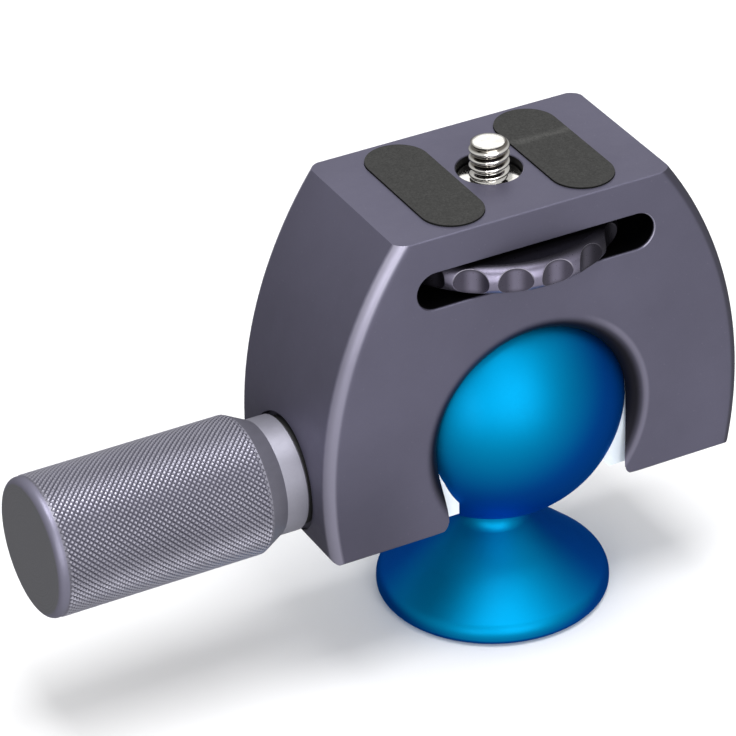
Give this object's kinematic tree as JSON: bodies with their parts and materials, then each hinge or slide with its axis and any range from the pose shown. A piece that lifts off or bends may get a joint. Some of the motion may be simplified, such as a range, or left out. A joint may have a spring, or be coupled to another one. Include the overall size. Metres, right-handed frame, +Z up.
{
  "type": "tripod ball head",
  "caption": "Compact tripod ball head: flared foot and ball under an arch-shaped clamp housing with a side locking knob and a captive thumb-wheel camera screw.",
  "frame": {"origin": "centre of the foot's underside, on the axis of the tripod thread", "axes": "+Z up through the ball and the camera screw, +X away from the locking knob, which points along -X; the broad faces look along -Y and +Y"},
  "size_m": [0.1169, 0.0422, 0.081],
  "materials": {
    "blue_anodised": "glossy blue anodised, fine turned",
    "violet_anodised": "bead-blasted grey-violet anodised",
    "violet_satin": "satin grey-violet anodised, turned",
    "grey_cap": "fine turned grey anodised",
    "rubber_grey": "fine sanded rubber-cork sheet",
    "nickel_steel": "bright nickel plate",
    "steel": "plain machined steel",
    "brass_plain": "machined",
    "white_plastic": "slightly translucent bearing plastic",
    "black_plastic": "matte"
  },
  "bodies": {
    "foot_group": {"foot": "blue_anodised", "foot_thread_insert": "steel"},
    "ball_group": {"ball": "blue_anodised", "ball_stud": "steel"},
    "liner_spring": {"liner_spring_washer": "steel"},
    "housing_group": {"housing": "violet_anodised", "bearing_liner": "white_plastic", "rubber_pad_left": "rubber_grey", "rubber_pad_right": "rubber_grey", "spindle_bush": "brass_plain", "bush_lock_screw": "steel", "wheel_thrust_washer": "white_plastic"},
    "wheel_group": {"thumb_wheel": "violet_satin", "camera_screw": "nickel_steel", "wheel_grub_screw": "steel"},
    "brake_group": {"brake_shoe": "white_plastic", "pressure_plate": "steel", "thrust_ball": "nickel_steel"},
    "knob_group": {"clamp_spindle": "steel", "knob_sleeve": "violet_anodised", "knob_end_cap": "grey_cap", "knob_screw": "steel", "knob_screw_washer": "steel", "drive_key": "steel", "collar_washer": "black_plastic"}
  },
  "joints": [
    {"name": "pan", "type": "hinge", "parent": "foot_group", "child": "ball_group", "pos_m": [0, 0, 0.037], "axis": [0, 0, 1], "continuous": true},
    {"name": "side_tilt", "type": "hinge", "parent": "ball_group", "child": "liner_spring", "pos_m": [0, 0, 0.037], "axis": [0, 1, 0], "range_deg": [-20, 20]},
    {"name": "fore_tilt", "type": "hinge", "parent": "liner_spring", "child": "housing_group", "pos_m": [0, 0, 0.037], "axis": [1, 0, 0], "range_deg": [-90, 90]},
    {"name": "wheel_spin", "type": "hinge", "parent": "housing_group", "child": "wheel_group", "pos_m": [0, 0, 0.067], "axis": [0, 0, 1], "continuous": true},
    {"name": "clamp_travel", "type": "slide", "parent": "housing_group", "child": "brake_group", "axis": [-1, 0, 0], "range_m": [0, 0.000416]},
    {"name": "knob_turn", "type": "hinge", "parent": "brake_group", "child": "knob_group", "pos_m": [-0.05, 0, 0.033], "axis": [-1, 0, 0], "range_deg": [0, 120]}
  ],
  "couplings": [
    {"joint": "knob_turn", "follows": "clamp_travel", "rad_per_m": 5026.5}
  ]
}
